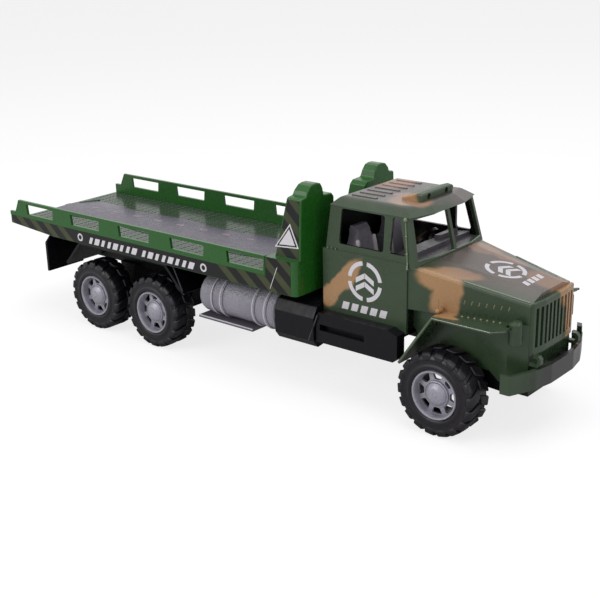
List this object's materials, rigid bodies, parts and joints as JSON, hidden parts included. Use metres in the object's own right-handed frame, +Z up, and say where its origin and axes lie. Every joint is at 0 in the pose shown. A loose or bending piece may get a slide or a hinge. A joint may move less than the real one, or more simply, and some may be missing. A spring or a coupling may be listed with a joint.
{
  "type": "toy flatbed truck",
  "caption": "Toy military flatbed truck with a hollow cab, long hood, fenced platform and tall headboard, rolling on freely turning axles.",
  "frame": {"origin": "floor level under the middle of the truck, half way between the platform's rear end and the bumper", "axes": "+X to the nose, +Y to the truck's left, +Z up"},
  "size_m": [0.439, 0.1094, 0.133],
  "materials": {
    "camouflage_plastic": "satin moulded plastic, dark green with soft tan patches",
    "green_plastic": "glossy moulded plastic",
    "black_plastic": "satin moulded plastic",
    "grey_plastic": "satin moulded plastic",
    "rim_plastic": "silver-coloured moulded plastic",
    "tyre": "black moulded tread",
    "steel": "drawn wire"
  },
  "bodies": {
    "truck": {"chassis_frame": "black_plastic", "platform_deck": "green_plastic", "side_rail_right": "green_plastic", "side_rail_left": "green_plastic", "headboard": "green_plastic", "cab_shell": "camouflage_plastic", "cab_floor": "black_plastic", "seat_right": "grey_plastic", "seat_left": "grey_plastic", "dashboard": "grey_plastic", "steering_wheel": "black_plastic", "hood_fenders": "camouflage_plastic", "radiator_grille": "camouflage_plastic", "headlamp_pod_right": "camouflage_plastic", "headlamp_pod_left": "camouflage_plastic", "roof_lamp_box": "camouflage_plastic", "front_bumper": "camouflage_plastic", "tow_hook_right": "camouflage_plastic", "tow_hook_left": "camouflage_plastic", "fuel_tank_right": "grey_plastic", "fuel_tank_left": "grey_plastic", "tank_cradle": "grey_plastic", "air_box_right": "black_plastic", "air_box_left": "black_plastic", "side_step_right": "black_plastic", "side_step_left": "black_plastic", "rear_mudguard_right": "black_plastic", "rear_mudguard_left": "black_plastic", "rear_plate": "black_plastic"},
    "front_wheels": {"axle_front": "steel", "tyre_front_right": "tyre", "rim_front_right": "rim_plastic", "tyre_front_left": "tyre", "rim_front_left": "rim_plastic"},
    "middle_wheels": {"axle_middle": "steel", "tyre_middle_right": "tyre", "rim_middle_right": "rim_plastic", "tyre_middle_left": "tyre", "rim_middle_left": "rim_plastic"},
    "rear_wheels": {"axle_rear": "steel", "tyre_rear_right": "tyre", "rim_rear_right": "rim_plastic", "tyre_rear_left": "tyre", "rim_rear_left": "rim_plastic"}
  },
  "joints": [
    {"name": "front_axle_spin", "type": "hinge", "parent": "truck", "child": "front_wheels", "pos_m": [0.167, 0, 0.026], "axis": [0, 1, 0], "continuous": true},
    {"name": "middle_axle_spin", "type": "hinge", "parent": "truck", "child": "middle_wheels", "pos_m": [-0.0676, 0, 0.026], "axis": [0, 1, 0], "continuous": true},
    {"name": "rear_axle_spin", "type": "hinge", "parent": "truck", "child": "rear_wheels", "pos_m": [-0.129, 0, 0.026], "axis": [0, 1, 0], "continuous": true}
  ]
}
